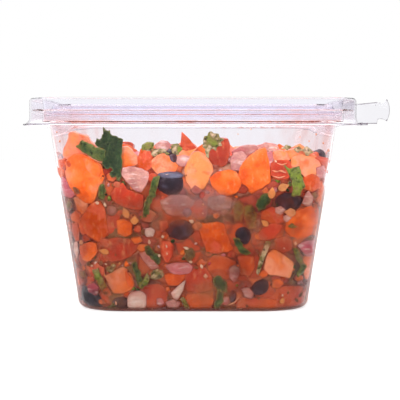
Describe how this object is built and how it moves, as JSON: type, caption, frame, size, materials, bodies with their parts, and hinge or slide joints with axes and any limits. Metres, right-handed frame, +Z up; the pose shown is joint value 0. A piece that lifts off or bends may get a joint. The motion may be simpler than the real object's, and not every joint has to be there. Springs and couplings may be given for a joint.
{
  "type": "black bean salsa in a shut clear tub",
  "caption": "Chunky black bean salsa of diced tomato, onion and cilantro in a shut, see-through tapered tub with a pull-tab lid.",
  "frame": {"origin": "middle of the tub's flat underside", "axes": "+Z up; -Y is the long side that the picture shows; +X is the picture's right, where the lid's pull tab stands out of the front corner"},
  "size_m": [0.1483, 0.118, 0.0877],
  "materials": {
    "clear_tub": "clear, glossy, thin thermoformed plastic",
    "clear_lid": "clear, glossy, thin thermoformed plastic",
    "salsa": "wet cut vegetables in cloudy juice"
  },
  "bodies": {
    "root": {"tub": "clear_tub", "lid": "clear_lid", "salsa": "salsa"}
  },
  "joints": []
}
